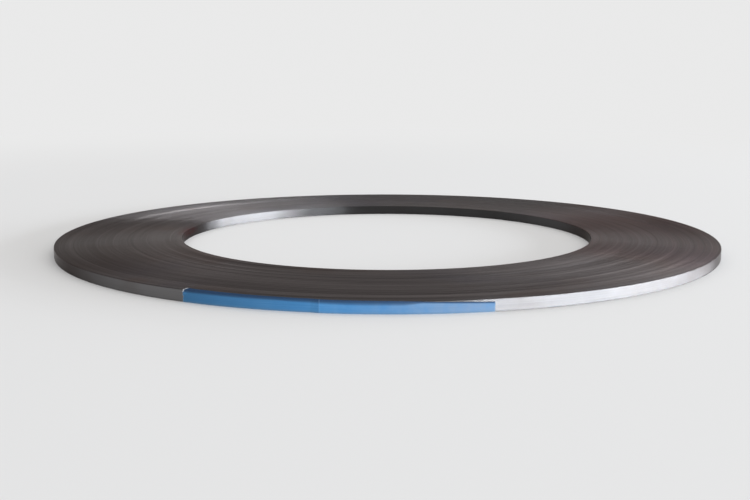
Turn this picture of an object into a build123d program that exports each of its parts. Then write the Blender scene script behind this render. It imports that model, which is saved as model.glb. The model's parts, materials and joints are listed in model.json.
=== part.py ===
from build123d import *
import math
import os

# Slit steel coil: a narrow strip wound tight into one thin disc with a round bore.
# It lies on one end. The axis of the coil is Z and the end with the folded tape is on top.
# The origin is on the axis, at the lower end. Lengths are in millimetres, angles in degrees.

# Strip and winding
BORE_DIAMETER = 762.0
STRIP_WIDTH = 18.0
STRIP_THICKNESS = 2.0
WRAPS = 112

# Turns that show on the ends
WRAPS_PER_GROOVE = 8
GROOVE_DEPTH = 0.8
GROOVE_HALF_WIDTH = 0.8

# Ends of the strip, as angles from +X towards +Y
TAIL_ANGLE = 3.0
HEAD_ANGLE = 150.0
HEAD_RAMP_LENGTH = 45.0

# Tape that holds the tail down, laid a little askew across the rim
TAPE_THICKNESS = 0.3
TAPE_LENGTH_ON_TAIL = 240.0
TAPE_LENGTH_PAST_TAIL = 208.0
TAPE_BRIDGE_LENGTH = 12.0
TAPE_BARE_EDGE = 4.0
TAPE_BARE_LENGTH = 125.0
TAPE_LAP = 10.0

BORE_RADIUS = BORE_DIAMETER / 2
OUTER_RADIUS = BORE_RADIUS + WRAPS * STRIP_THICKNESS
UNDER_RADIUS = OUTER_RADIUS - STRIP_THICKNESS
CENTRE_SHIFT = STRIP_THICKNESS / 4


def on_circle(radius, angle):
    """Point at a radius and an angle about the axis of the coil."""
    turn = math.radians(angle)
    return (radius * math.cos(turn), radius * math.sin(turn))


def arc_angle(length, radius):
    """Angle that an arc of this length spans."""
    return math.degrees(length / radius)


TAPE_TOP_ANGLE = arc_angle(TAPE_LENGTH_ON_TAIL, OUTER_RADIUS)
TAPE_END_ANGLE = -arc_angle(TAPE_LENGTH_PAST_TAIL, UNDER_RADIUS)
TAPE_LANDING_ANGLE = -arc_angle(TAPE_BRIDGE_LENGTH, UNDER_RADIUS)
TAPE_LAP_ANGLE = TAPE_TOP_ANGLE - arc_angle(TAPE_BARE_LENGTH, OUTER_RADIUS)


def surface_arc(start, stop, on_tail, raised=0.0):
    """Arc along the outside of the coil, between two angles from the tail's end."""
    if on_tail:
        return CenterArc((CENTRE_SHIFT, 0), OUTER_RADIUS - CENTRE_SHIFT + raised, start, stop - start)
    return CenterArc((-CENTRE_SHIFT, 0), UNDER_RADIUS + CENTRE_SHIFT + raised, start, stop - start)


def wound_outline():
    """Outside of the last wrap: two half circles that climb one thickness in a full turn."""
    step = Line((UNDER_RADIUS, 0), (OUTER_RADIUS, 0))
    return make_face(surface_arc(0, 180, True) + surface_arc(180, 360, False) + step)


def groove_section(radius, face, inward):
    """V section of one ring, cut into the end that lies at this height."""
    return Polyline(
        (radius - GROOVE_HALF_WIDTH, 0, face),
        (radius, 0, face + inward * GROOVE_DEPTH),
        (radius + GROOVE_HALF_WIDTH, 0, face),
        close=True,
    )


def end_grooves():
    """Rings between groups of wraps, on both ends."""
    rings = []
    for number in range(1, math.ceil(WRAPS / WRAPS_PER_GROOVE)):
        radius = BORE_RADIUS + number * WRAPS_PER_GROOVE * STRIP_THICKNESS
        for face, inward in ((0, 1), (STRIP_WIDTH, -1)):
            rings.append(revolve(make_face(groove_section(radius, face, inward)), Axis.Z, 360))
    return rings


def head_end_gap():
    """Wedge of air where the second wrap climbs over the head end of the strip."""
    ramp = arc_angle(HEAD_RAMP_LENGTH, BORE_RADIUS)
    section = Polyline(
        on_circle(BORE_RADIUS - STRIP_THICKNESS, 0),
        on_circle(BORE_RADIUS + STRIP_THICKNESS, 0),
        on_circle(BORE_RADIUS, ramp),
        on_circle(BORE_RADIUS - STRIP_THICKNESS, ramp),
        close=True,
    )
    return Rot(0, 0, HEAD_ANGLE) * extrude(make_face(section), STRIP_WIDTH)


def make_coil():
    """The wound strip as one solid."""
    section = Rot(0, 0, TAIL_ANGLE) * wound_outline() - Circle(BORE_RADIUS)
    return extrude(section, STRIP_WIDTH) - end_grooves() - head_end_gap()


def tape_outer_edges(start):
    """Outer edge of the tape: on the tail, down over its step and on the wrap under it."""
    on_tail = surface_arc(0, start, True, TAPE_THICKNESS)
    past_tail = surface_arc(TAPE_END_ANGLE, TAPE_LANDING_ANGLE, False, TAPE_THICKNESS)
    return on_tail + past_tail + Line(on_tail @ 0, past_tail @ 1)


def tape_section():
    """The tape on the rim, seen along the axis."""
    on_tail = surface_arc(0, TAPE_TOP_ANGLE, True)
    past_tail = surface_arc(TAPE_END_ANGLE, TAPE_LANDING_ANGLE, False)
    edges = on_tail + past_tail + Line(on_tail @ 0, past_tail @ 1)
    edges += tape_outer_edges(TAPE_TOP_ANGLE)
    edges += Line(on_tail @ 1, surface_arc(0, TAPE_TOP_ANGLE, True, TAPE_THICKNESS) @ 1)
    edges += Line(past_tail @ 0, surface_arc(TAPE_END_ANGLE, 0, False, TAPE_THICKNESS) @ 0)
    return make_face(edges)


def bare_edge():
    """Skewed block that leaves the upper edge of the rim bare where the tape starts."""
    block = Box(
        2 * TAPE_BARE_EDGE + 2 * TAPE_THICKNESS,
        2 * TAPE_BARE_LENGTH,
        STRIP_WIDTH,
        align=(Align.CENTER, Align.CENTER, Align.MIN),
    )
    skew = math.degrees(math.atan2(TAPE_BARE_EDGE, TAPE_BARE_LENGTH))
    start = on_circle(OUTER_RADIUS, TAPE_TOP_ANGLE)
    place = Pos(start[0], start[1], STRIP_WIDTH - TAPE_BARE_EDGE) * Rot(0, 0, TAPE_TOP_ANGLE)
    return place * Rot(-skew, 0, 0) * block


def lap_section():
    """Edge of the tape that is folded onto the upper end, wider towards the tape's lower end."""
    start = surface_arc(0, TAPE_LAP_ANGLE, True) @ 1
    middle = on_circle(OUTER_RADIUS - TAPE_LAP / 2, (TAPE_LAP_ANGLE + TAPE_END_ANGLE) / 2)
    end = on_circle(OUTER_RADIUS - TAPE_LAP, TAPE_END_ANGLE)
    inner = ThreePointArc(start, middle, end)
    edges = inner + tape_outer_edges(TAPE_LAP_ANGLE)
    edges += Line(start, surface_arc(0, TAPE_LAP_ANGLE, True, TAPE_THICKNESS) @ 1)
    edges += Line(end, surface_arc(TAPE_END_ANGLE, 0, False, TAPE_THICKNESS) @ 0)
    return make_face(edges)


def make_tape():
    """Tape along the rim, with one edge folded onto the upper end of the coil."""
    band = extrude(tape_section(), STRIP_WIDTH) - bare_edge()
    lap = Pos(0, 0, STRIP_WIDTH) * extrude(lap_section(), TAPE_THICKNESS)
    return Rot(0, 0, TAIL_ANGLE) * (band + lap)


def main():
    os.makedirs("parts", exist_ok=True)
    export_step(make_coil(), "parts/coil.step")
    export_step(make_tape(), "parts/tape.step")


main()
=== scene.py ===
import json
import math

import bpy
import numpy as np
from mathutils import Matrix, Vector


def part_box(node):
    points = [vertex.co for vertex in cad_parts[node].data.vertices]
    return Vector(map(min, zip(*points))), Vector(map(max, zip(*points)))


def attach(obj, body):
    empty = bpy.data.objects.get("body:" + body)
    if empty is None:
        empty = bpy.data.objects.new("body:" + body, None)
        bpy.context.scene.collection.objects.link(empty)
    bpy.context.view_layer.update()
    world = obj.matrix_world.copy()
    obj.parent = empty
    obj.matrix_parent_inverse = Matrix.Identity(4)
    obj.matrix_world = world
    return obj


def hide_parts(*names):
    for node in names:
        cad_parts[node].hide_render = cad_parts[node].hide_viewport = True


# Steel coil lying on its end, with a strip of blue tape over the tail of the strip.
# Lengths are in metres and angles in degrees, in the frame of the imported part.
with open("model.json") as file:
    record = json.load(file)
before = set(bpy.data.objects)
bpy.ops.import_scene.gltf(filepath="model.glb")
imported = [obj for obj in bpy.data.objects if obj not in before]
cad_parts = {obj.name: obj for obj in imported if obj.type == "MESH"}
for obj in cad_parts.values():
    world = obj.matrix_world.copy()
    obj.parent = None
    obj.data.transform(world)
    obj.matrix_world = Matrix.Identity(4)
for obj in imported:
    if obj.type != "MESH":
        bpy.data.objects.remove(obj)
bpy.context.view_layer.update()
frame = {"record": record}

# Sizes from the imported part
MOUNTS = {mount["name"]: mount for mount in frame["record"]["mounts"]}
BORE_RADIUS = MOUNTS["bore"]["dims"]["r_mm"] / 1000
COIL_LOW, COIL_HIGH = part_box("coil")
STRIP_WIDTH = COIL_HIGH.z - COIL_LOW.z

# Winding, as in the solid
STRIP_THICKNESS = 0.002
WRAPS = 112
OUTER_RADIUS = BORE_RADIUS + WRAPS * STRIP_THICKNESS
TAIL_ANGLE = 3.0
HEAD_ANGLE = 150.0
HEAD_RAMP = 7.0
TURNS = WRAPS - 1 + ((HEAD_ANGLE - TAIL_ANGLE) % 360) / 360

# Mesh of the strip: its steps, and the angle from which an edge of it is shown sharp
STEPS_PER_TURN = 108
STRIP_SHARP = 15

# Edges of the strip: their bevel and the depth of the gap between two of them
EDGE_BEVEL = 0.00022
GAP_DEPTH = 0.00045

# How far the edges wander inwards from the solid's ends, turns between two random values, and their shares
EDGE_WANDER = 0.00045
LOW_WANDER = 0.00015
WANDER_TURNS = (6.0, 0.9)
WANDER_SEEDS = (11, 12)
WANDER_SHARES = (0.55, 0.5)

# Slant of the edges: its mean, its random part, its slow swing and the turns that stand out of it
EDGE_SLANT = 3.2
SLANT_SPREAD = 1.6
SLANT_TURNS = (9.0, 0.8)
SLANT_SEEDS = (13, 14)
SLANT_SWING = 1.3
SWING_CREST = 78.5
SWING_TURNS = 74.0
PROUD_TURNS = 4.5
PROUD_SLANT = 4.0

# Rows of the map that the finish is laid out on: start and height, as shares of its side
TOP_ROWS = (0.01, 0.44)
LOW_ROWS = (0.46, 0.34)
RIM_ROW = (0.82, 0.06)
BORE_ROW = (0.89, 0.06)
HIDDEN_ROW = (0.96, 0.03)
MAP_EDGE = 0.01

# Sides of the strip's section, in the order of its corners
BORE_SIDE = 0
TOP_SIDES = (1, 2, 3)
RIM_SIDE = 4
LOW_SIDES = (5, 6, 7)
END_SIDE = 8
HIGH_CORNERS = (1, 4)

# Tape over the tail, as in the solid. Places along it count from the tail's end and are below 0 past it.
TAPE_ON_TAIL = 0.240
TAPE_PAST_TAIL = 0.208
TAPE_BRIDGE = 0.012
TAPE_BARE_EDGE = 0.004
TAPE_BARE_LENGTH = 0.125
TAPE_LAP = 0.010

# Film of the tape and its mesh
FILM = 0.00012
FILM_GAP = 0.00004
FOLD_RADIUS = 0.0005
BRIDGE_BOW = 0.85
TAPE_STEP = 0.001
TAPE_CELLS = 40
TAPE_SHARP = 50

# Waves of the film, and puckers in the part that is folded onto the upper end
WAVE_HEIGHT = 0.00007
WAVE_LENGTH = 0.014
WAVE_WIDTH = 0.006
WAVE_SEED = 21
PUCKER_HEIGHT = 0.00022
PUCKER_LENGTH = 0.0055
PUCKER_START = 0.6
PUCKER_REACH = 0.006
PUCKER_SEED = 22

# Crease over the tail's step: its place along the tape, its height and its width
CREASE_PLACE = 0.0004
CREASE_HEIGHT = 0.00006
CREASE_WIDTH = 0.0007

# Lifted ends: the curled corner at the far end, which rises and falls at these heights, and the loose start
CURL_HEIGHT = 0.0016
CURL_LENGTH = 0.009
CURL_RISE = (0.008, 0.0155)
CURL_FALL = (0.016, 0.0175)
LAP_LIFT = 0.00015
START_LIFT = 0.0004
START_LIFT_LENGTH = 0.004
START_LIFT_SHARE = 0.6

# Uneven outlines: depth, and distance between random values, in metres or in shares of the tape's width
RAGGED_DEPTH = 0.0004
RAGGED_LENGTH = 0.009
RAGGED_SEED = 23
CUT_DEPTH = 0.0008
CUT_SHARE = 0.07
CUT_SEED = 24
TORN_DEPTH = 0.0018
TORN_SHARE = 0.045
TORN_SEED = 25
TORN_BACK = 0.001
UNEVEN_LENGTH = 0.006

# Range that noise from a node mostly stays in, and the fine bumps of both materials
NOISE_RANGE = (0.3, 0.7)
BUMP_STRENGTH = 0.2
BUMP_DEPTH = 0.0002

# Slit edges, which show on the ends: dark and light, and the scale, detail and roughness of their noise
EDGE_DARK = (0.075, 0.067, 0.065, 1)
EDGE_LIGHT = (0.165, 0.148, 0.145, 1)
TURN_NOISE = (1.7, 1.0, 0.5)
GROUP_NOISE = (0.16, 3.0, 0.6)

# Single turns that are brighter or darker: start and scale of their noise, where it shows, and how much
STRAY_TURNS = (
    {"start": 0.0, "scale": 2.3, "shows": (0.74, 0.84), "most": 0.55, "color": (0.26, 0.235, 0.232, 1)},
    {"start": 40.0, "scale": 1.9, "shows": (0.73, 0.82), "most": 0.6, "color": (0.03, 0.027, 0.026, 1)},
)

# Blotches: scale, detail and roughness of their noise, where it shows, and how much
RUST = {"color": (0.1, 0.06, 0.045, 1), "noise": (4.5, 4.0, 0.6), "shows": (0.52, 0.72), "most": 0.45}
COOL = {"color": (0.066, 0.066, 0.09, 1), "noise": (3.1, 3.0, 0.5), "shows": (0.52, 0.7), "most": 0.45}
OIL = {"color": (0.145, 0.122, 0.108, 1), "noise": (9.0, 4.0, 0.6), "shows": (0.5, 0.75), "most": 0.35}
CLOUD = {"color": (0.052, 0.205, 0.44, 1), "noise": (22.0, 4.0, 0.6), "shows": (0.4, 0.65), "most": 0.6}

# Across a slit edge: its darker outer half, and painted shade in the gaps on both sides, as shares of the
# strip's thickness
BURR = {"color": (0.055, 0.05, 0.05, 1), "shows": (0.35, 0.5), "most": 0.45}
BURR_SCALE = 180.0
BURR_SPREAD = 0.25
GAP_SHADE = {"color": (0.02, 0.018, 0.018, 1), "shows": (0.12, 0.04), "most": 0.75}

# Change of the ends' brightness from the bore to the rim, and its random part along the turns
BORE_TO_RIM = (1.12, 0.84)
PATCH_STEP = 0.11
PATCH_NOISE = (1.4, 3.0, 0.55)
PATCH_SHOWS = (0.32, 0.68)
PATCH_TONES = (0.82, 1.18)

# Arcs of turns with painted highlights, the sheen of the brushed ends, or with painted shade where the
# amount is below 0: middle and width in turns, middle angle, half length, how much lighter
SHEEN_AND_SHADE_ARCS = (
    (79.0, 6.0, -116.0, 27.0, 2.0),
    (52.0, 3.5, 52.0, 26.0, 0.45),
    (100.0, 52.0, 66.0, 32.0, 0.62),
    (74.0, 22.0, -115.0, 24.0, 0.25),
    (25.0, 60.0, -115.0, 20.0, 0.25),
    (11.0, 7.0, -30.0, 38.0, -0.34),
    (85.0, 8.0, -12.0, 45.0, -0.18),
    (98.0, 11.0, -5.0, 55.0, 0.45),
    (18.0, 64.0, -60.0, 30.0, 0.62),
    (108.0, 36.0, 68.0, 18.0, 0.4),
    (8.0, 30.0, -84.0, 14.0, 0.3),
)

# Part of an arc's width and of its length that has its full tone
ARC_FULL = (0.2, 0.3)

# Painted warm reflection on a brownish part of the ends: where it starts and ends, and its tint
WARM_REFLECTION_START = (62.0, 84.0)
WARM_REFLECTION_END = (122.0, 150.0)
WARM_REFLECTION_TINT = (1.13, 0.88, 0.86, 1)

# Rolled face, which shows on the rim and the bore's wall: dark and light, and its lines round the coil
FACE_DARK = (0.215, 0.21, 0.213, 1)
FACE_LIGHT = (0.27, 0.264, 0.267, 1)
FACE_LINES = (3.0, 900.0)
LINE_NOISE = (1.0, 3.0, 0.6)

# How far outside the bore's radius a face still counts as its wall, and how upright an end's normal is
WALL_DEPTH = (0.006, 0.004)
END_UPRIGHT = (0.3, 0.5)

# Painted highlight on the bore's wall between parts of painted shade, and how bright each is beside the rim
BORE_HIGHLIGHT_START = (218.0, 232.0)
BORE_HIGHLIGHT_END = (253.5, 258.5)
BORE_HIGHLIGHT = 0.82
BORE_SHADE = (0.2, 0.44)
BORE_SHADE_ANGLES = (150.0, 104.0)

# Painted shade on the rim past the tape: where it starts and ends, and how bright its two parts are
RIM_SHADE_START = (-130.0, -90.0)
RIM_SHADE_CHANGE = (-44.0, -24.0)
RIM_SHADE_END = (-12.0, 12.0)
RIM_SHADE = (0.5, 0.68)

# Red smear on the upper part of the bore's wall and over its edge
MARK_ANGLE = 280.0
MARK_SPREAD = 12.0
MARK_FULL = 0.35
MARK_HEIGHTS = (0.003, 0.009)
MARK_OUTWARD = (0.002, 0.016)
MARK_STREAKS = (22.0, 260.0, 260.0)
MARK_SHOWS = (0.36, 0.6)
MARK_MOST = 0.9
MARK_COLOR = (0.135, 0.05, 0.056, 1)

# Shine of the steel: roughness of its ends and faces, brushed round the axis, and its colour at a low angle
END_ROUGHNESS = (0.42, 0.5)
FACE_ROUGHNESS = (0.3, 0.38)
BRUSHED = 0.92
BRUSHED_TURN = 0.25
STEEL_GRAIN = (4200.0, 2.0, 0.6)
STEEL_GRAZING = (0.41, 0.388, 0.38, 1)

# Film's blue, with lines along it
FILM_DARK = (0.058, 0.205, 0.42, 1)
FILM_LIGHT = (0.094, 0.27, 0.52, 1)
FILM_LINES = (9.0, 900.0)
FILM_ROUGHNESS = (0.4, 0.52)
FILM_GRAIN = (700.0, 3.0, 0.6)
FILM_LINE_BUMP = 0.6

# Tints of the film: from and to which distance, how much at each, and the colour
# Painted highlight on the film, lighter towards where it starts.
START_HIGHLIGHT = {"fade": (0.0, 0.2, 0.0, 0.7), "color": (0.205, 0.265, 0.355, 1)}
DUST_TINT = {"fade": (0.0045, 0.001, 0.0, 0.6), "color": (0.135, 0.212, 0.285, 1)}
CREASE_TINT = {"fade": (0.0004, 0.0012, 0.1, 0.0), "color": (0.3, 0.47, 0.68, 1)}
EDGE_TINT = {"fade": (0.0002, 0.0009, 0.45, 0.0), "color": (0.33, 0.5, 0.7, 1)}
DUST_UNEVEN = 0.002

# Film past the tail is darker: at its step at once, and further on slowly
PAST_STEP = (0.001, -0.001, 0.0, 0.2)
PAST_SLOWLY = (-0.01, -0.2, 0.0, 0.6)
PAST_COLOR = (0.044, 0.13, 0.25, 1)

# Navy fringe along the fold, film over the dark end and painted shade on the rim below the fold: its width
# along the tape, where it narrows, how it fades and how strong it is
FRINGE_WIDTH = (-0.06, 0.04, 0.0045, 0.0067)
FRINGE_NARROWS = (0.115, 0.14)
FRINGE_NARROW = 0.0028
FRINGE_POWER = 2.1
FRINGE_MOST = 0.9
FRINGE_COLOR = (0.026, 0.045, 0.09, 1)

# White of the torn corner: distance from the film's far end, height on the rim, and how strong it is
TORN_ALONG = (0.003, 0.0008)
TORN_ACROSS = (0.0145, 0.0162)
TORN_MOST = 0.85
TORN_COLOR = (0.6, 0.62, 0.64, 1)

# Floor and backdrop, and how far from the object the one fades into the other
FLOOR_COLOR = (0.8, 0.8, 0.8, 1)
FLOOR_ROUGHNESS = 0.9
FLOOR_HALF = 40.0
BACKDROP_COLOR = (0.82, 0.82, 0.82, 1)
FADE_START = 0.9
FADE_END = 3.7

# Light from all round: its colour, and where it is darkest and lightest, as the share of a direction along Y
WORLD_COLOR = (1.0, 0.988, 0.977, 1)
WORLD_SPREAD = (-0.7, 0.9)
WORLD_DARK = 0.62
WORLD_LIGHT = 0.97

# Lamps: where they stand in degrees, their size in metres and their power in watts
LAMP_REACH = 10.0
LAMP_COLOR = (0.89, 0.945, 1.0)
LAMPS = {
    "side": {"azimuth": 97, "elevation": 5.5, "size": (5.4, 1.9), "power": 800},
    "side_near": {"azimuth": 60, "elevation": 4.3, "size": (7.6, 1.5), "power": 930},
    "side_far": {"azimuth": 127, "elevation": 4.3, "size": (5.5, 1.5), "power": 700},
    "back": {"azimuth": 182, "elevation": 8.5, "size": (8.0, 2.9), "power": 35},
    "fill": {"azimuth": -120, "elevation": 42, "size": (2.7, 2.9), "power": 55},
}

# Camera: its place in outer radii from the middle of the upper end, as in the photograph, and its aim
CAMERA_PLACE = (3.22, 0.659, 0.508)
CAMERA_AIM = (0.1, 0, 0)
CAMERA_LENS = 51
CAMERA_SENSOR = 36
CAMERA_FAR = 200


def smooth_noise(x, step, seed):
    """Value noise from 0 to 1 along x, with one random value each step."""
    x = x - np.min(x)
    values = np.random.default_rng(seed).random(int(np.max(x) / step) + 3)
    cell = np.floor(x / step).astype(int)
    part = x / step - cell
    part = part * part * (3 - 2 * part)
    return values[cell] * (1 - part) + values[cell + 1] * part


def slow_and_quick(turn, lengths, seeds):
    """Two noises along the strip, from -0.5 to 0.5, with a random value each so many turns."""
    return [smooth_noise(turn, length, seed) - 0.5 for length, seed in zip(lengths, seeds)]


def smooth_step(x, low, high):
    """0 up to low and 1 from high on, with a smooth step between them."""
    part = np.clip((x - low) / (high - low), 0, 1)
    return part * part * (3 - 2 * part)


def smooth_patches(x, y, step_x, step_y, seed):
    """Value noise from 0 to 1 over a plane."""
    x, y = (x - np.min(x)) / step_x, (y - np.min(y)) / step_y
    values = np.random.default_rng(seed).random((int(np.max(x)) + 3, int(np.max(y)) + 3))
    i, j = np.floor(x).astype(int), np.floor(y).astype(int)
    u, v = x - i, y - j
    u, v = u * u * (3 - 2 * u), v * v * (3 - 2 * v)
    low = values[i, j] * (1 - u) + values[i + 1, j] * u
    high = values[i, j + 1] * (1 - u) + values[i + 1, j + 1] * u
    return low * (1 - v) + high * v


def mesh_object(name, verts, faces):
    mesh = bpy.data.meshes.new(name)
    mesh.from_pydata([tuple(v) for v in verts], [], faces)
    mesh.update()
    obj = bpy.data.objects.new(name, mesh)
    bpy.context.scene.collection.objects.link(obj)
    return obj


def smooth_but_sharp(obj, angle):
    """Smooth shading, with the edges that turn by more than this angle kept sharp."""
    obj.data.shade_smooth()
    obj.data.set_sharp_from_angle(angle=math.radians(angle))


def paint_map(obj, name, corner_values):
    """UV map with one pair of values for each corner of each face."""
    layer = obj.data.uv_layers.new(name=name)
    layer.uv.foreach_set("vector", np.asarray(corner_values, np.float32).ravel())


def corner_vertices(obj):
    """Vertex of each corner of each face."""
    vertex = np.empty(len(obj.data.loops), np.int32)
    obj.data.loops.foreach_get("vertex_index", vertex)
    return vertex


# The wound strip

def wound_turns():
    """Turns from the head end of the strip to its tail, one value a station."""
    whole = int(TURNS * STEPS_PER_TURN)
    return np.append(np.arange(whole + 1) / STEPS_PER_TURN, TURNS)


def winding_radius(turn):
    """Inner radius of the strip: it climbs over its head end, and evenly further out."""
    share = turn - np.floor(turn)
    ramp = np.clip((share - (1 - HEAD_RAMP / 360)) / (HEAD_RAMP / 360), 0, 1)
    stepped = np.floor(turn) + ramp
    even = turn - (TURNS - math.floor(TURNS))
    blend = turn / TURNS
    return BORE_RADIUS + STRIP_THICKNESS * (stepped * (1 - blend) + even * blend)


def edge_rise(turn):
    """How much higher the slit edge is on the side of the bore than on the other."""
    slow, quick = slow_and_quick(turn, SLANT_TURNS, SLANT_SEEDS)
    from_crest = turn - SWING_CREST
    swing = SLANT_SWING * np.cos(2 * math.pi * from_crest / SWING_TURNS)
    proud = PROUD_SLANT * np.exp(-(from_crest / PROUD_TURNS) ** 2)
    slant = EDGE_SLANT + SLANT_SPREAD * (slow + quick) + swing + proud
    return (STRIP_THICKNESS - 2 * EDGE_BEVEL) * np.tan(np.radians(slant))


def strip_section(turn):
    """Corners of the strip's section at each station: radius, height and share of the way across."""
    inner = winding_radius(turn)
    outer = inner + STRIP_THICKNESS
    slow, quick = slow_and_quick(turn, WANDER_TURNS, WANDER_SEEDS)
    wander = np.clip(0.5 + WANDER_SHARES[0] * slow + WANDER_SHARES[1] * quick, 0, 1)
    low = COIL_LOW.z + LOW_WANDER * wander
    high = COIL_HIGH.z - EDGE_WANDER * (1 - wander)
    bevel = EDGE_BEVEL / STRIP_THICKNESS
    rise = edge_rise(turn)
    inner_drop, outer_drop = np.maximum(-rise, 0), np.maximum(rise, 0)
    return [
        (inner, low + GAP_DEPTH, 0),
        (inner, high - GAP_DEPTH, 0),
        (inner + EDGE_BEVEL, high - inner_drop, bevel),
        (outer - EDGE_BEVEL, high - outer_drop, 1 - bevel),
        (outer, high - GAP_DEPTH, 1),
        (outer, low + GAP_DEPTH, 1),
        (outer - EDGE_BEVEL, low + outer_drop, 1 - bevel),
        (inner + EDGE_BEVEL, low + inner_drop, bevel),
    ]


def finish_map(turn, first_turn, corner, side, across):
    """Unrolled map: one row a turn for each end of the coil, and one each for the rim and the bore."""
    whole = np.floor(first_turn + 1e-6)
    along = MAP_EDGE + (1 - 2 * MAP_EDGE) * (turn - whole)
    by_turn = (whole + across) / WRAPS
    by_height = np.isin(corner, HIGH_CORNERS) * 1.0
    on_ends = np.isin(side, TOP_SIDES + LOW_SIDES)
    part = np.where(on_ends, by_turn, by_height)
    place = np.tile(HIDDEN_ROW, (len(turn), 1))
    place[np.isin(side, TOP_SIDES)] = TOP_ROWS
    place[np.isin(side, LOW_SIDES)] = LOW_ROWS
    place[(side == RIM_SIDE) & (first_turn >= TURNS - 1)] = RIM_ROW
    place[(side == BORE_SIDE) & (first_turn < 1)] = BORE_ROW
    return np.stack([along, place[:, 0] + place[:, 1] * part], 1)


def ribbon_faces(stations, size):
    """Faces of a closed ribbon with this many corners a station, its two ends last."""
    faces = []
    for i in range(stations - 1):
        a, b = i * size, (i + 1) * size
        for k in range(size):
            m = (k + 1) % size
            faces.append((a + k, b + k, b + m, a + m))
    last = (stations - 1) * size
    faces.append(tuple(range(size)))
    faces.append(tuple(last + k for k in reversed(range(size))))
    return faces


def make_strip():
    """The strip itself, wound from its head end to its tail, with the maps that its finish needs."""
    turn = wound_turns()
    angle = np.radians(HEAD_ANGLE - 360 * turn)
    corners = strip_section(turn)
    size = len(corners)
    rows = [np.stack([r * np.cos(angle), r * np.sin(angle), h], 1) for r, h, _ in corners]
    verts = np.stack(rows, 1).reshape(-1, 3)
    strip = mesh_object("wound_strip", verts, ribbon_faces(len(turn), size))
    smooth_but_sharp(strip, STRIP_SHARP)

    vertex = corner_vertices(strip)
    station, corner = vertex // size, vertex % size
    sides = (len(turn) - 1) * size
    side = np.full(len(vertex), END_SIDE)
    side[: sides * 4] = np.repeat(np.arange(sides) % size, 4)
    first_turn = turn[station]
    first_turn[: sides * 4] = np.repeat(turn[:-1], size * 4)
    across = np.array([share for _, _, share in corners])[corner]
    paint_map(strip, "strip", np.stack([turn[station], across], 1))
    paint_map(strip, "OFBake", finish_map(turn[station], first_turn, corner, side, across))
    return strip


# The tape

def tape_width(along):
    """Width of the tape that lies on the coil. It runs askew, so its upper part laps onto the upper end."""
    places = [-TAPE_PAST_TAIL, TAPE_ON_TAIL - TAPE_BARE_LENGTH, TAPE_ON_TAIL]
    widths = [STRIP_WIDTH + TAPE_LAP, STRIP_WIDTH, STRIP_WIDTH - TAPE_BARE_EDGE]
    return np.interp(along, places, widths)


def under_tape(along):
    """Radius that the tape lies on: the tail, then a bridge over its step, then the wrap under it."""
    def outside(place):
        turn = TURNS - place / (2 * math.pi * OUTER_RADIUS) - (place < 0)
        return winding_radius(turn) + STRIP_THICKNESS

    top, landing = outside(np.array([0.0, -TAPE_BRIDGE]))
    share = np.clip(-along / TAPE_BRIDGE, 0, 1) ** BRIDGE_BOW
    on_bridge = (along < 0) & (along > -TAPE_BRIDGE)
    return np.where(on_bridge, top + (landing - top) * share, outside(along))


def film_place(along, across, lift):
    """Points of the film: up the rim, round the edge and inwards over the upper end."""
    straight = STRIP_WIDTH - FOLD_RADIUS
    bend = np.clip((across - straight) / FOLD_RADIUS, 0, math.pi / 2)
    inwards = np.clip(across - straight - FOLD_RADIUS * math.pi / 2, 0, None)
    radius = under_tape(along) - FOLD_RADIUS + (FOLD_RADIUS + lift) * np.cos(bend) - inwards
    height = COIL_LOW.z + np.minimum(across, straight) + (FOLD_RADIUS + lift) * np.sin(bend)
    angle = math.radians(TAIL_ANGLE) + along / OUTER_RADIUS
    return np.stack([radius * np.cos(angle), radius * np.sin(angle), height], -1)


def film_lift(along, across, share):
    """Height of the film's outside above the steel: waves, puckers, the crease and two lifted corners."""
    waves = WAVE_HEIGHT * smooth_patches(along, across, WAVE_LENGTH, WAVE_WIDTH, WAVE_SEED)
    folds = (smooth_noise(along, PUCKER_LENGTH, PUCKER_SEED) - PUCKER_START) / (1 - PUCKER_START)
    on_lap = smooth_step(across, STRIP_WIDTH, STRIP_WIDTH + PUCKER_REACH)
    puckers = PUCKER_HEIGHT * np.clip(folds, 0, 1) * on_lap
    crease = CREASE_HEIGHT * np.exp(-((along - CREASE_PLACE) / CREASE_WIDTH) ** 2)
    to_end = smooth_step(-along, TAPE_PAST_TAIL - CURL_LENGTH, TAPE_PAST_TAIL)
    on_corner = smooth_step(across, *CURL_RISE) * (1 - smooth_step(across, *CURL_FALL))
    curl = CURL_HEIGHT * to_end * on_corner + LAP_LIFT * to_end * on_lap
    to_start = smooth_step(along, TAPE_ON_TAIL - START_LIFT_LENGTH, TAPE_ON_TAIL)
    loose = START_LIFT * to_start * smooth_step(share, START_LIFT_SHARE, 1)
    return FILM + FILM_GAP + waves + puckers + crease + curl + loose


def uneven_ends(along, share):
    """Places along the tape, moved near its ends: it is cut at its start and torn at its far end."""
    cut = smooth_noise(share[:1], CUT_SHARE, CUT_SEED) - 0.5
    torn = smooth_noise(share[:1], TORN_SHARE, TORN_SEED) - 0.5
    at_start = smooth_step(along, TAPE_ON_TAIL - UNEVEN_LENGTH, TAPE_ON_TAIL)
    at_end = smooth_step(-along, TAPE_PAST_TAIL - UNEVEN_LENGTH, TAPE_PAST_TAIL)
    return along + CUT_DEPTH * (cut - 1) * at_start + (TORN_DEPTH * torn + TORN_BACK) * at_end


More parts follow.
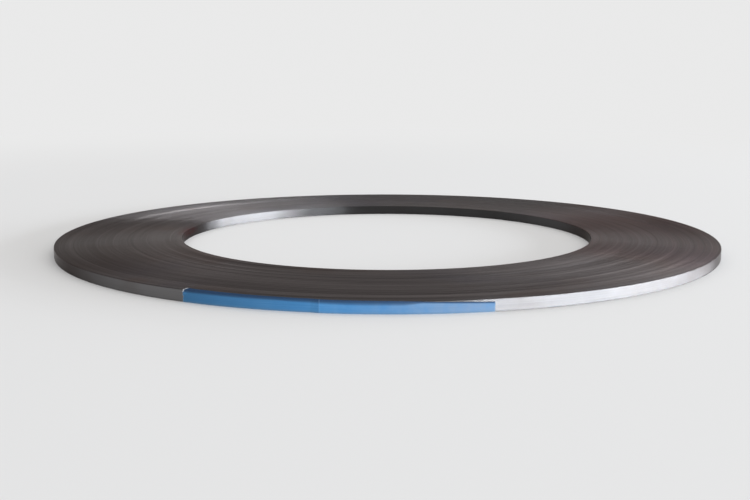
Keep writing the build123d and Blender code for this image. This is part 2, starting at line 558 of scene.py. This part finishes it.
def film_faces(rows, columns):
    """Faces of the film: its outside, its inside and the narrow ones round its edge."""
    size = rows * columns
    at = np.arange(size).reshape(rows, columns)
    a, b, c, d = at[:-1, :-1], at[1:, :-1], at[1:, 1:], at[:-1, 1:]
    front = np.stack([a, b, c, d], -1).reshape(-1, 4)
    back = np.stack([d, c, b, a], -1).reshape(-1, 4) + size
    ring = np.concatenate([at[:, 0], at[-1, 1:], at[-2::-1, -1], at[0, -2:0:-1]])
    after = np.roll(ring, -1)
    rim = np.stack([ring, ring + size, after + size, after], -1)
    return np.concatenate([front, back, rim]).tolist()


def make_tape():
    """The tape as a closed thin film, with the maps that its finish needs."""
    stations = int(round((TAPE_ON_TAIL + TAPE_PAST_TAIL) / TAPE_STEP)) + 1
    places = np.linspace(-TAPE_PAST_TAIL, TAPE_ON_TAIL, stations)
    along, share = np.meshgrid(places, np.linspace(0, 1, TAPE_CELLS + 1), indexing="ij")
    ragged = RAGGED_DEPTH * (smooth_noise(along[:, :1], RAGGED_LENGTH, RAGGED_SEED) - 0.5)
    across = share * (tape_width(along) + ragged)
    placed = uneven_ends(along, share)
    lift = film_lift(placed, across, share)
    outside = film_place(placed, across, lift)
    inside = film_place(placed, across, lift - FILM)
    verts = np.concatenate([outside.reshape(-1, 3), inside.reshape(-1, 3)])
    tape = mesh_object("tape_film", verts, film_faces(*along.shape))
    smooth_but_sharp(tape, TAPE_SHARP)

    vertex = corner_vertices(tape) % along.size
    to_edge = np.minimum(along + TAPE_PAST_TAIL, TAPE_ON_TAIL - along)
    to_fold = np.minimum(tape_width(along), STRIP_WIDTH) - across
    paint_map(tape, "film", np.stack([along.ravel()[vertex], across.ravel()[vertex]], 1))
    paint_map(tape, "to_edge", np.stack([to_edge.ravel()[vertex], to_fold.ravel()[vertex]], 1))
    return tape


# Materials

class Nodes:
    """Shorthand for building a node material."""

    def __init__(self, name):
        self.material = bpy.data.materials.new(name)
        self.material.use_nodes = True
        self.tree = self.material.node_tree
        self.tree.nodes.clear()
        self.output = self.add("ShaderNodeOutputMaterial")

    def add(self, kind, **settings):
        node = self.tree.nodes.new(kind)
        for key, value in settings.items():
            setattr(node, key, value)
        return node

    def link(self, source, target):
        self.tree.links.new(source, target)

    def put(self, target, value):
        """Links a socket, or sets a plain value."""
        if isinstance(value, bpy.types.NodeSocket):
            self.link(value, target)
        else:
            target.default_value = value

    def math(self, operation, a, b=0.0, clamp=False):
        node = self.add("ShaderNodeMath", operation=operation, use_clamp=clamp)
        self.put(node.inputs[0], a)
        self.put(node.inputs[1], b)
        return node.outputs[0]

    def times(self, a, b):
        return self.math("MULTIPLY", a, b)

    def mix(self, factor, a, b, blend="MIX"):
        """Colour between a and b."""
        node = self.add("ShaderNodeMix", data_type="RGBA", blend_type=blend)
        self.put(node.inputs["Factor"], factor)
        self.put(node.inputs[6], a)
        self.put(node.inputs[7], b)
        return node.outputs[2]

    def between(self, factor, a, b):
        """Number between a and b."""
        node = self.add("ShaderNodeMix", data_type="FLOAT")
        self.put(node.inputs["Factor"], factor)
        self.put(node.inputs[2], a)
        self.put(node.inputs[3], b)
        return node.outputs[0]

    def spread(self, value, low, high, to_low=0.0, to_high=1.0):
        """Number that goes from to_low to to_high while value goes from low to high."""
        node = self.add("ShaderNodeMapRange", clamp=True)
        self.put(node.inputs["Value"], value)
        for name, number in zip(("From Min", "From Max", "To Min", "To Max"), (low, high, to_low, to_high)):
            node.inputs[name].default_value = number
        return node.outputs[0]

    def noise(self, vector, scale, detail=3.0, roughness=0.5, kind="3D"):
        node = self.add("ShaderNodeTexNoise", noise_dimensions=kind)
        self.put(node.inputs["W" if kind == "1D" else "Vector"], vector)
        node.inputs["Scale"].default_value = scale
        node.inputs["Detail"].default_value = detail
        node.inputs["Roughness"].default_value = roughness
        return node.outputs[0]

    def parts(self, vector):
        node = self.add("ShaderNodeSeparateXYZ")
        self.link(vector, node.inputs[0])
        return node.outputs

    def vector(self, x, y=0.0, z=0.0):
        node = self.add("ShaderNodeCombineXYZ")
        for socket, value in zip(node.inputs, (x, y, z)):
            self.put(socket, value)
        return node.outputs[0]

    def map(self, name):
        """The two values of a UV map."""
        return self.parts(self.add("ShaderNodeUVMap", uv_map=name).outputs[0])[:2]

    def darkened(self, color, factor):
        """Colour times a number."""
        return self.mix(1.0, color, self.vector(factor, factor, factor), "MULTIPLY")

    def blotched(self, color, place, look):
        """Colour with blotches of another one."""
        amount = self.spread(self.noise(place, *look["noise"]), *look["shows"], 0.0, look["most"])
        return self.mix(amount, color, look["color"])

    def tinted(self, color, distance, look):
        """Colour with a tint that changes with a distance."""
        return self.mix(self.spread(distance, *look["fade"]), color, look["color"])

    def shade(self, color, roughness, height):
        """Principled shader with fine bumps, linked to the output."""
        shader = self.add("ShaderNodeBsdfPrincipled")
        self.link(color, shader.inputs["Base Color"])
        self.link(roughness, shader.inputs["Roughness"])
        bump = self.add("ShaderNodeBump")
        self.link(height, bump.inputs["Height"])
        bump.inputs["Strength"].default_value = BUMP_STRENGTH
        bump.inputs["Distance"].default_value = BUMP_DEPTH
        self.link(bump.outputs[0], shader.inputs["Normal"])
        self.link(shader.outputs[0], self.output.inputs[0])
        return shader


def bore_highlight_part(n, angle):
    """1 along the painted highlight on the bore's wall, from the angle in degrees."""
    from_start = n.spread(angle, BORE_HIGHLIGHT_START[0] - 360, BORE_HIGHLIGHT_START[1] - 360)
    return n.times(from_start, n.spread(angle, BORE_HIGHLIGHT_END[0] - 360, BORE_HIGHLIGHT_END[1] - 360, 1.0, 0.0))


def bore_highlight_and_shade(n, angle):
    """How bright the bore's wall is with its painted highlight and painted shade, from the angle in degrees.
    """
    painted_shade = n.spread(n.math("ABSOLUTE", angle), *BORE_SHADE_ANGLES, *BORE_SHADE)
    return n.between(bore_highlight_part(n, angle), painted_shade, BORE_HIGHLIGHT)


def rim_shade_tone(n, angle):
    """How bright the rim is with its painted shade, from the angle in degrees."""
    painted_shade = n.spread(angle, *RIM_SHADE_CHANGE, *RIM_SHADE)
    shaded_part = n.times(n.spread(angle, *RIM_SHADE_START), n.spread(angle, *RIM_SHADE_END, 1.0, 0.0))
    return n.between(shaded_part, 1.0, painted_shade)


def red_mark(n, angle, z, radius):
    """1 where the red smear is thickest, fading to 0 round it, from the angle in radians."""
    middle, half = math.radians(MARK_ANGLE - 360), math.radians(MARK_SPREAD)
    off = n.math("ABSOLUTE", n.math("SUBTRACT", angle, middle))
    along = n.spread(off, MARK_FULL * half, half, 1.0, 0.0)
    up = n.spread(z, *MARK_HEIGHTS)
    outward = n.spread(radius, BORE_RADIUS + MARK_OUTWARD[0], BORE_RADIUS + MARK_OUTWARD[1], 1.0, 0.0)
    streaks = [n.times(value, scale) for value, scale in zip((angle, z, radius), MARK_STREAKS)]
    thick = n.spread(n.noise(n.vector(*streaks), *LINE_NOISE), *MARK_SHOWS)
    return n.times(n.times(along, up), n.times(outward, thick))


def painted_sheen_and_shade(n, turn, angle):
    """How much lighter the turns are with painted highlights, or darker below 0 with painted shade, along
    the arcs, from the angle in degrees.
    """
    total = 0.0
    for middle, width, turned, half, amount in SHEEN_AND_SHADE_ARCS:
        off = n.math("ABSOLUTE", n.math("SUBTRACT", turn, middle))
        over = n.math("ABSOLUTE", n.math("SUBTRACT", angle, turned))
        across = n.spread(off, ARC_FULL[0] * width, width, amount, 0.0)
        along = n.spread(over, ARC_FULL[1] * half, half, 1.0, 0.0)
        total = n.math("ADD", total, n.times(across, along))
    return total


def end_finish(n, place, turn, across, angle, radius, single):
    """Colour of the slit edges, which show as rings on the ends of the coil, with painted highlights,
    painted shade and a painted warm reflection, from the angle in degrees.
    """
    x, y, z = n.parts(place)
    group = n.noise(turn, *GROUP_NOISE, "1D")
    tone = n.math("ADD", n.times(single, 0.5), n.times(group, 0.5))
    color = n.mix(n.spread(tone, *NOISE_RANGE), EDGE_DARK, EDGE_LIGHT)
    for stray in STRAY_TURNS:
        value = n.noise(n.math("ADD", turn, stray["start"]), stray["scale"], 0.0, 0.5, "1D")
        color = n.mix(n.spread(value, *stray["shows"], 0.0, stray["most"]), color, stray["color"])
    color = n.blotched(color, place, RUST)
    color = n.blotched(color, n.vector(y, z, x), COOL)
    burr = n.math("ADD", across, n.times(n.noise(place, BURR_SCALE), BURR_SPREAD))
    color = n.mix(n.spread(burr, *BURR["shows"], 0.0, BURR["most"]), color, BURR["color"])
    # Painted shade in the gaps between the turns, darkest at their edges.
    edge, full = GAP_SHADE["shows"]
    gap_shade = n.math("MAXIMUM", n.spread(across, edge, full), n.spread(across, 1 - edge, 1 - full))
    color = n.mix(n.times(gap_shade, GAP_SHADE["most"]), color, GAP_SHADE["color"])
    around = n.vector(n.times(turn, PATCH_STEP), n.math("DIVIDE", x, radius), n.math("DIVIDE", y, radius))
    patches = n.spread(n.noise(around, *PATCH_NOISE), *PATCH_SHOWS, *PATCH_TONES)
    trend = n.times(n.spread(radius, BORE_RADIUS, OUTER_RADIUS, *BORE_TO_RIM), patches)
    # Painted highlights and painted shade along the arcs, on top of the brightness from the bore to the rim.
    color = n.darkened(color, n.times(trend, n.math("ADD", 1.0, painted_sheen_and_shade(n, turn, angle))))
    # Painted warm reflection over a part of the ends at fixed angles.
    warm_reflection = n.times(n.spread(angle, *WARM_REFLECTION_START), n.spread(angle, *WARM_REFLECTION_END, 1.0, 0.0))
    return n.mix(warm_reflection, color, WARM_REFLECTION_TINT, "MULTIPLY")


def face_finish(n, place, angle, radius, rolled):
    """Colour of the rolled face, which shows on the rim and the bore's wall, with painted highlight and
    painted shade, from the angle in degrees.
    """
    color = n.mix(n.spread(rolled, *NOISE_RANGE), FACE_DARK, FACE_LIGHT)
    color = n.blotched(color, place, OIL)
    in_bore = n.spread(radius, BORE_RADIUS + WALL_DEPTH[0], BORE_RADIUS + WALL_DEPTH[1])
    # Painted shade on the rim, and painted highlight and painted shade on the bore's wall.
    return n.darkened(color, n.between(in_bore, rim_shade_tone(n, angle), bore_highlight_and_shade(n, angle)))


def steel():
    """Bright rolled steel with dark slit edges, brushed round the coil's axis."""
    n = Nodes("slit_steel")
    place = n.add("ShaderNodeTexCoord").outputs["Object"]
    x, y, z = n.parts(place)
    turn, across = n.map("strip")
    normal = n.parts(n.add("ShaderNodeNewGeometry").outputs["True Normal"])
    on_end = n.spread(n.math("ABSOLUTE", normal[2]), *END_UPRIGHT)
    angle = n.math("ARCTAN2", y, x)
    degrees = n.times(angle, 180 / math.pi)
    radius = n.math("SQRT", n.math("ADD", n.times(x, x), n.times(y, y)))
    single = n.noise(turn, *TURN_NOISE, "1D")
    rolled = n.noise(n.vector(n.times(angle, FACE_LINES[0]), n.times(z, FACE_LINES[1])), *LINE_NOISE)

    end_color = end_finish(n, place, turn, across, degrees, radius, single)
    color = n.mix(on_end, face_finish(n, place, degrees, radius, rolled), end_color)
    color = n.mix(n.times(red_mark(n, angle, z, radius), MARK_MOST), color, MARK_COLOR)
    rough_end = n.spread(single, *NOISE_RANGE, *END_ROUGHNESS)
    rough_face = n.spread(rolled, *NOISE_RANGE, *FACE_ROUGHNESS)
    grain = n.noise(n.vector(radius, z, 0.0), *STEEL_GRAIN)
    shader = n.shade(color, n.between(on_end, rough_face, rough_end), grain)
    shader.inputs["Metallic"].default_value = 1.0
    shader.inputs["Anisotropic"].default_value = BRUSHED
    shader.inputs["Anisotropic Rotation"].default_value = BRUSHED_TURN
    shader.inputs["Specular Tint"].default_value = STEEL_GRAZING
    tangent = n.add("ShaderNodeTangent", direction_type="RADIAL", axis="Z")
    n.link(tangent.outputs[0], shader.inputs["Tangent"])
    return n.material


def navy_and_fold_shade(n, along, to_fold):
    """How navy the film is, from the place along it and the distance to its fold: film over the dark end,
    with painted shade on the rim below the fold.
    """
    wide = n.spread(along, *FRINGE_WIDTH)
    width = n.between(n.spread(along, *FRINGE_NARROWS), wide, FRINGE_NARROW)
    from_fold = n.math("MAXIMUM", n.math("DIVIDE", to_fold, width), 0.0)
    fringe = n.math("SUBTRACT", 1.0, n.math("POWER", from_fold, FRINGE_POWER), clamp=True)
    return n.times(fringe, FRINGE_MOST)


def tape_film():
    """Light blue film with faint lines along it, with a painted highlight towards its start, navy at its
    fold with painted shade below it, and paler where it is creased or torn.
    """
    n = Nodes("blue_film")
    place = n.add("ShaderNodeTexCoord").outputs["Object"]
    along, across = n.map("film")
    to_edge, to_fold = n.map("to_edge")
    lines = n.noise(n.vector(n.times(along, FILM_LINES[0]), n.times(across, FILM_LINES[1])), *LINE_NOISE)
    color = n.mix(n.spread(lines, *NOISE_RANGE), FILM_DARK, FILM_LIGHT)
    # Painted highlight towards the film's start.
    color = n.tinted(color, along, START_HIGHLIGHT)
    color = n.blotched(color, place, CLOUD)
    past_tail = n.math("ADD", n.spread(along, *PAST_STEP), n.spread(along, *PAST_SLOWLY))
    color = n.mix(past_tail, color, PAST_COLOR)
    color = n.tinted(color, n.math("ADD", across, n.times(lines, DUST_UNEVEN)), DUST_TINT)
    # Navy of the film over the dark end, and painted shade on the rim below the fold.
    color = n.mix(navy_and_fold_shade(n, along, to_fold), color, FRINGE_COLOR)
    from_crease = n.math("ABSOLUTE", n.math("SUBTRACT", along, CREASE_PLACE))
    color = n.tinted(color, from_crease, CREASE_TINT)
    color = n.tinted(color, to_edge, EDGE_TINT)
    near_end = n.spread(along, TORN_ALONG[0] - TAPE_PAST_TAIL, TORN_ALONG[1] - TAPE_PAST_TAIL)
    torn = n.times(near_end, n.spread(across, *TORN_ACROSS))
    color = n.mix(n.times(torn, TORN_MOST), color, TORN_COLOR)
    bumps = n.math("ADD", n.times(lines, FILM_LINE_BUMP), n.noise(place, *FILM_GRAIN))
    shader = n.shade(color, n.spread(lines, *NOISE_RANGE, *FILM_ROUGHNESS), bumps)
    shader.inputs["Specular IOR Level"].default_value = 0.0
    return n.material


def shown_rays(tree):
    """1 for the camera's rays and for those that metal and glass send on, as a socket."""
    path = tree.nodes.new("ShaderNodeLightPath")
    last = path.outputs["Is Camera Ray"]
    for name in ("Is Glossy Ray", "Is Transmission Ray"):
        more = tree.nodes.new("ShaderNodeMath")
        more.operation = "MAXIMUM"
        tree.links.new(last, more.inputs[0])
        tree.links.new(path.outputs[name], more.inputs[1])
        last = more.outputs[0]
    return last


def floor_paint():
    """Pale matt floor that fades into the backdrop far from the object."""
    n = Nodes("floor_paint")
    paint = n.add("ShaderNodeBsdfPrincipled")
    paint.inputs["Base Color"].default_value = FLOOR_COLOR
    paint.inputs["Roughness"].default_value = FLOOR_ROUGHNESS
    paint.inputs["Specular IOR Level"].default_value = 0.0
    place = n.add("ShaderNodeTexCoord").outputs["Object"]
    length = n.add("ShaderNodeVectorMath", operation="LENGTH")
    n.link(place, length.inputs[0])
    far = n.add("ShaderNodeMapRange", interpolation_type="SMOOTHERSTEP")
    n.link(length.outputs["Value"], far.inputs["Value"])
    far.inputs["From Min"].default_value = FADE_START
    far.inputs["From Max"].default_value = FADE_END
    glow = n.add("ShaderNodeEmission")
    glow.inputs["Color"].default_value = BACKDROP_COLOR
    mix = n.add("ShaderNodeMixShader")
    n.link(n.times(far.outputs[0], shown_rays(n.tree)), mix.inputs[0])
    n.link(paint.outputs[0], mix.inputs[1])
    n.link(glow.outputs[0], mix.inputs[2])
    n.link(mix.outputs[0], n.output.inputs[0])
    return n.material


# Studio

def make_floor():
    half = FLOOR_HALF
    corners = [(-half, -half, 0), (half, -half, 0), (half, half, 0), (-half, half, 0)]
    floor = mesh_object("floor", corners, [(0, 1, 2, 3)])
    floor.data.materials.append(floor_paint())


def make_world():
    """Soft white studio, a little darker on the side away from the lamps."""
    world = bpy.data.worlds.new("studio")
    bpy.context.scene.world = world
    world.use_nodes = True
    tree = world.node_tree
    tree.nodes.clear()
    out = tree.nodes.new("ShaderNodeOutputWorld")
    place = tree.nodes.new("ShaderNodeTexCoord")
    parts = tree.nodes.new("ShaderNodeSeparateXYZ")
    tree.links.new(place.outputs["Generated"], parts.inputs[0])
    ramp = tree.nodes.new("ShaderNodeMapRange")
    tree.links.new(parts.outputs[1], ramp.inputs["Value"])
    darkest, lightest = WORLD_SPREAD
    ramp.inputs["From Min"].default_value = darkest
    ramp.inputs["From Max"].default_value = lightest
    ramp.inputs["To Min"].default_value = WORLD_DARK
    ramp.inputs["To Max"].default_value = WORLD_LIGHT
    light = tree.nodes.new("ShaderNodeBackground")
    light.inputs[0].default_value = WORLD_COLOR
    tree.links.new(ramp.outputs[0], light.inputs[1])
    seen = tree.nodes.new("ShaderNodeBackground")
    seen.inputs[0].default_value = BACKDROP_COLOR
    mix = tree.nodes.new("ShaderNodeMixShader")
    tree.links.new(shown_rays(tree), mix.inputs[0])
    tree.links.new(light.outputs[0], mix.inputs[1])
    tree.links.new(seen.outputs[0], mix.inputs[2])
    tree.links.new(mix.outputs[0], out.inputs[0])


def area_light(name, azimuth, elevation, size, power):
    """Soft panel that faces the object from a direction, in degrees from +X and above the floor."""
    data = bpy.data.lights.new(name, "AREA")
    data.shape = "RECTANGLE"
    data.size, data.size_y = size
    data.energy = power
    data.color = LAMP_COLOR
    around, up = math.radians(azimuth), math.radians(elevation)
    away = Vector((math.cos(around) * math.cos(up), math.sin(around) * math.cos(up), math.sin(up)))
    lamp = bpy.data.objects.new(name, data)
    lamp.location = away * LAMP_REACH
    lamp.rotation_euler = (-away).to_track_quat("-Z", "Y").to_euler()
    lamp.visible_camera = False
    bpy.context.scene.collection.objects.link(lamp)


def make_camera():
    """Camera at the photograph's place beside the coil, turned so that up is up."""
    data = bpy.data.cameras.new("camera")
    camera = bpy.data.objects.new("camera", data)
    camera.location = Vector(CAMERA_PLACE) * OUTER_RADIUS + Vector((0, 0, STRIP_WIDTH))
    aim = Vector(CAMERA_AIM) - camera.location
    camera.rotation_euler = aim.to_track_quat("-Z", "Y").to_euler()
    data.lens = CAMERA_LENS
    data.sensor_width = CAMERA_SENSOR
    data.clip_end = CAMERA_FAR
    bpy.context.scene.collection.objects.link(camera)
    bpy.context.scene.camera = camera


def dress(piece, node, material):
    """Puts a piece in the place of a solid."""
    piece.data.materials.append(material)
    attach(piece, "root")
    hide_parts(node)


def main():
    bpy.context.scene.view_settings.view_transform = "Standard"
    dress(make_strip(), "coil", steel())
    dress(make_tape(), "tape", tape_film())
    make_floor()
    make_world()
    for name, lamp in LAMPS.items():
        area_light(name, **lamp)
    make_camera()


main()
